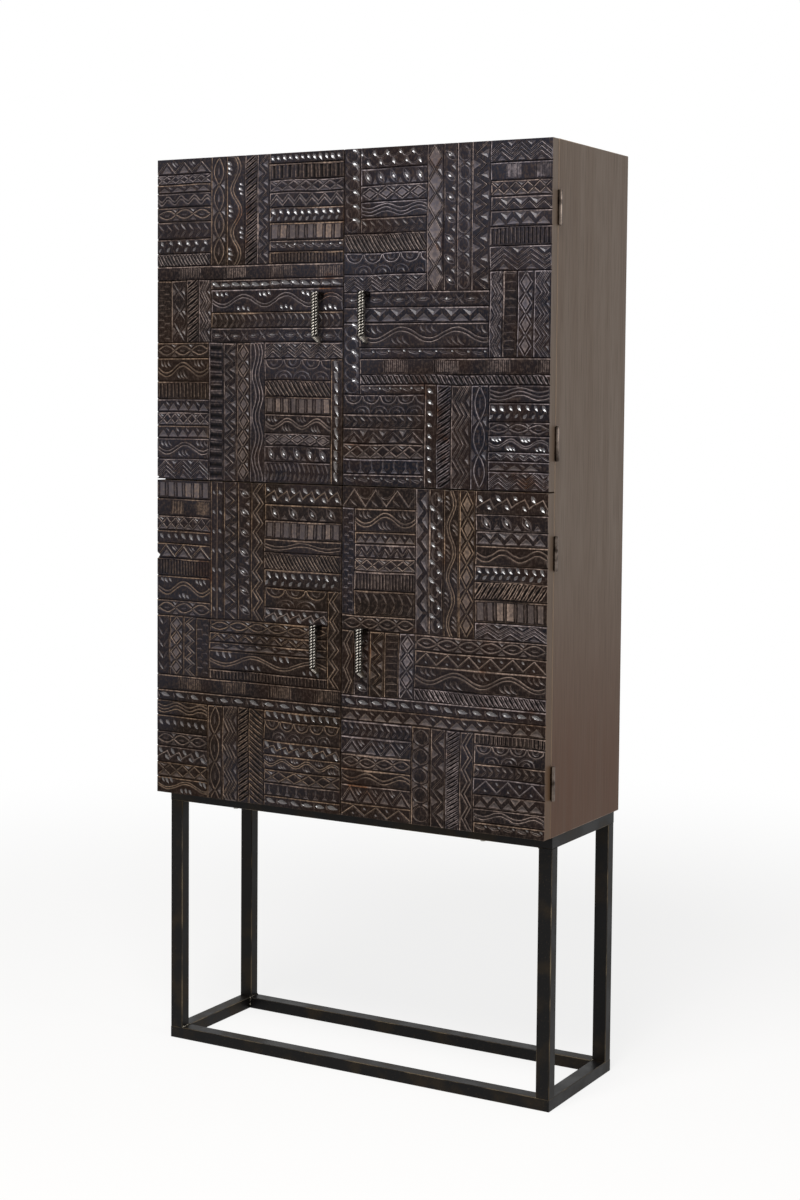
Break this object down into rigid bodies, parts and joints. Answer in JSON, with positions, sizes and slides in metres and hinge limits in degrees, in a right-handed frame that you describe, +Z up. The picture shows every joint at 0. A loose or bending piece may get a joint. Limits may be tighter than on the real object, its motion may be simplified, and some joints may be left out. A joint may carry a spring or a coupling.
{
  "type": "display cabinet",
  "caption": "Tall dark wooden cabinet with carved patterned doors in two rows, bow handles and side butt hinges, on an open black iron stand.",
  "frame": {"origin": "on the floor under the middle of the cabinet's overall size, handles and hinge barrels included", "axes": "+Z up, +Y to the back, so the doors face -Y, and +X to the right as seen from the front"},
  "size_m": [0.9474, 0.374, 1.9],
  "materials": {
    "carved_wood": "hand carved, dark brown-black stain, rubbed lighter on the cuts' edges, satin",
    "stained_wood": "taupe-brown stain, satin, faint straight grain",
    "back_board": "thin board with a plain brown stain, matt",
    "black_iron": "blackened iron tube under clear lacquer, brown where it is worn",
    "antiqued_metal": "cast metal, antiqued dull silver with dark hollows",
    "hinge_steel": "dark bronzed steel, dull",
    "zinc_steel": "zinc plated, dull",
    "catch_plastic": "brown moulded plastic, matt"
  },
  "bodies": {
    "cabinet": {"stand_top_rail_front": "black_iron", "stand_top_rail_right": "black_iron", "stand_top_rail_back": "black_iron", "stand_top_rail_left": "black_iron", "stand_floor_rail_front": "black_iron", "stand_floor_rail_right": "black_iron", "stand_floor_rail_back": "black_iron", "stand_floor_rail_left": "black_iron", "stand_leg_front_left": "black_iron", "stand_leg_front_right": "black_iron", "stand_leg_back_left": "black_iron", "stand_leg_back_right": "black_iron", "stand_bolts": "zinc_steel", "side_panel_left": "stained_wood", "side_panel_right": "stained_wood", "bottom_board": "stained_wood", "middle_board": "stained_wood", "top_board": "stained_wood", "back_panel": "back_board", "back_screws": "zinc_steel", "shelf_upper": "stained_wood", "shelf_battens_upper": "stained_wood", "shelf_lower": "stained_wood", "shelf_battens_lower": "stained_wood", "hinge_upper_left_top_frame_leaf": "hinge_steel", "hinge_upper_left_low_frame_leaf": "hinge_steel", "hinge_upper_right_top_frame_leaf": "hinge_steel", "hinge_upper_right_low_frame_leaf": "hinge_steel", "hinge_lower_left_top_frame_leaf": "hinge_steel", "hinge_lower_left_low_frame_leaf": "hinge_steel", "hinge_lower_right_top_frame_leaf": "hinge_steel", "hinge_lower_right_low_frame_leaf": "hinge_steel", "hinge_pins": "hinge_steel", "frame_screws": "zinc_steel", "door_catches": "catch_plastic"},
    "upper_left_door": {"door_upper_left": "carved_wood", "door_screws_upper_left": "zinc_steel", "strike_plate_upper_left": "zinc_steel", "handle_upper_left": "antiqued_metal", "hinge_upper_left_top_door_leaf": "hinge_steel", "hinge_upper_left_low_door_leaf": "hinge_steel"},
    "upper_right_door": {"door_upper_right": "carved_wood", "door_screws_upper_right": "zinc_steel", "strike_plate_upper_right": "zinc_steel", "handle_upper_right": "antiqued_metal", "hinge_upper_right_top_door_leaf": "hinge_steel", "hinge_upper_right_low_door_leaf": "hinge_steel"},
    "lower_left_door": {"door_lower_left": "carved_wood", "door_screws_lower_left": "zinc_steel", "strike_plate_lower_left": "zinc_steel", "handle_lower_left": "antiqued_metal", "hinge_lower_left_top_door_leaf": "hinge_steel", "hinge_lower_left_low_door_leaf": "hinge_steel"},
    "lower_right_door": {"door_lower_right": "carved_wood", "door_screws_lower_right": "zinc_steel", "strike_plate_lower_right": "zinc_steel", "handle_lower_right": "antiqued_metal", "hinge_lower_right_top_door_leaf": "hinge_steel", "hinge_lower_right_low_door_leaf": "hinge_steel"}
  },
  "joints": [
    {"name": "upper_left_door_hinge", "type": "hinge", "parent": "cabinet", "child": "upper_left_door", "pos_m": [-0.4695, -0.137, 1.56275], "axis": [0, 0, -1], "range_deg": [0, 180]},
    {"name": "upper_right_door_hinge", "type": "hinge", "parent": "cabinet", "child": "upper_right_door", "pos_m": [0.4695, -0.137, 1.56275], "axis": [0, 0, 1], "range_deg": [0, 180]},
    {"name": "lower_left_door_hinge", "type": "hinge", "parent": "cabinet", "child": "lower_left_door", "pos_m": [-0.4695, -0.137, 0.88725], "axis": [0, 0, -1], "range_deg": [0, 180]},
    {"name": "lower_right_door_hinge", "type": "hinge", "parent": "cabinet", "child": "lower_right_door", "pos_m": [0.4695, -0.137, 0.88725], "axis": [0, 0, 1], "range_deg": [0, 180]}
  ]
}
